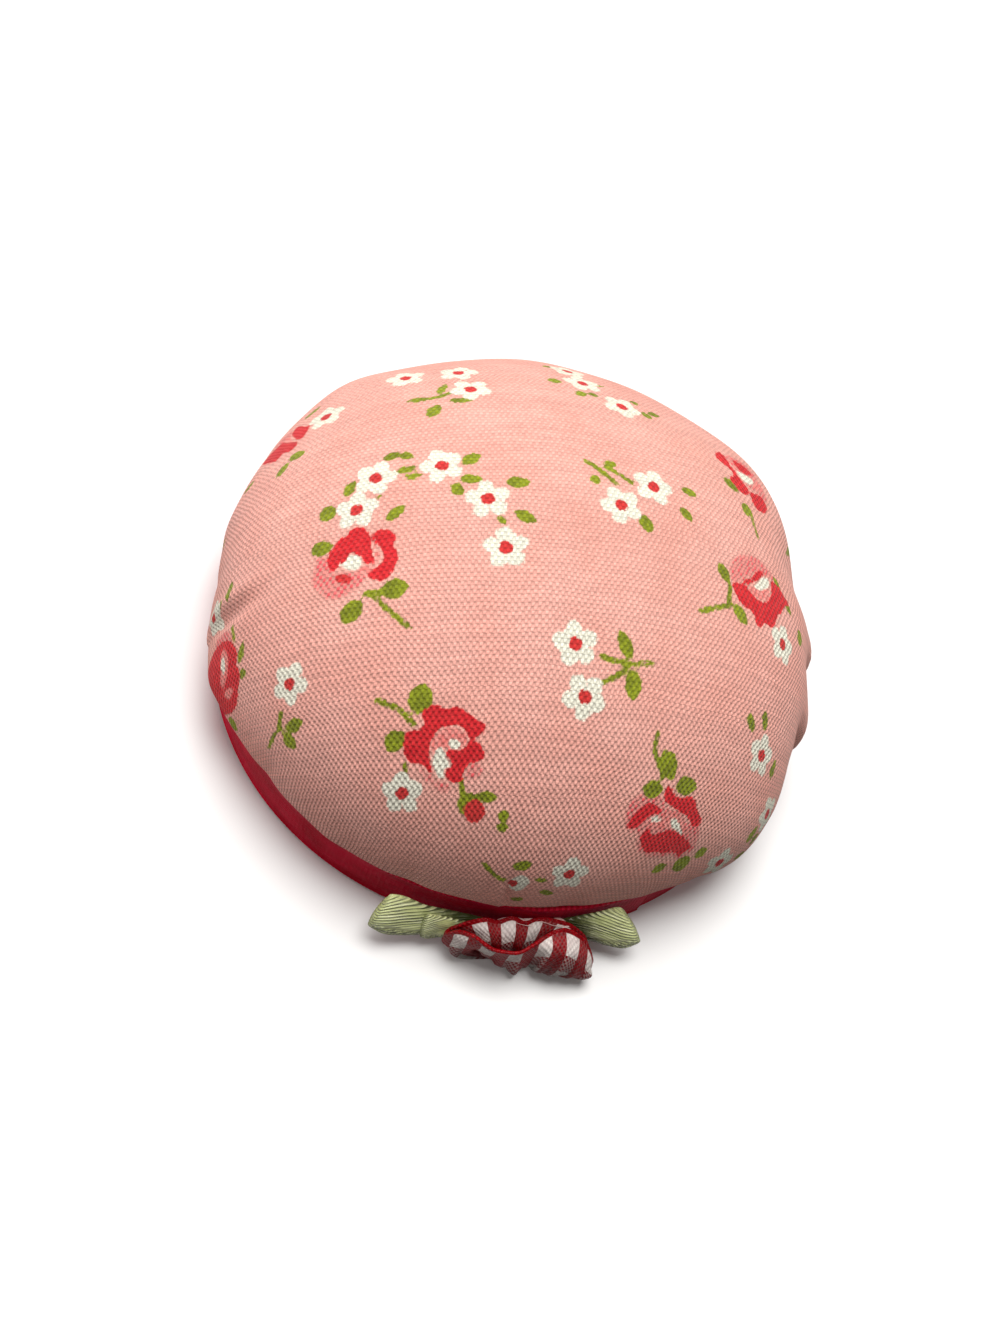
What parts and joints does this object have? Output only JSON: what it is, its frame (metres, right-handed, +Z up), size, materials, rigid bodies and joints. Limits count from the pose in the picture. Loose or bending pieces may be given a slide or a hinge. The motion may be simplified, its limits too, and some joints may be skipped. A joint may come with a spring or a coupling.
{
  "type": "pin cushion",
  "caption": "Round stuffed cotton pin cushion on a thin ribbon-edged base, with a gathered ribbon rosette and ribbon leaves at the front.",
  "frame": {"origin": "middle of the round base's underside, on the surface that it rests on", "axes": "+Z up through the middle of the cushion; the rosette faces -Y; +X to the right of the rosette seen from the front"},
  "size_m": [0.077, 0.0822, 0.0358],
  "materials": {
    "base_felt": "matt craft felt",
    "base_board": "raw fibreboard",
    "red_satin_ribbon": "satin with a woven edge",
    "hot_glue": "clear hot-melt glue",
    "card": "matt greyboard",
    "fibre_filling": "packed polyester fibre",
    "printed_cotton": "plain-weave printed cotton",
    "thread": "spun sewing thread",
    "gingham_ribbon": "woven red and white check",
    "green_satin_ribbon": "pleated satin"
  },
  "bodies": {
    "root": {"base_felt": "base_felt", "base_board": "base_board", "ribbon_band": "red_satin_ribbon", "cushion_glue": "hot_glue", "cushion_card": "card", "fibre_filling": "fibre_filling", "cotton_cover": "printed_cotton", "gathering_thread": "thread", "rosette_glue": "hot_glue", "rosette_thread": "thread", "rosette_back_ruffle": "gingham_ribbon", "rosette_front_ruffle": "gingham_ribbon", "leaf_left_outer": "green_satin_ribbon", "leaf_left_inner": "green_satin_ribbon", "leaf_right": "green_satin_ribbon"}
  },
  "joints": []
}
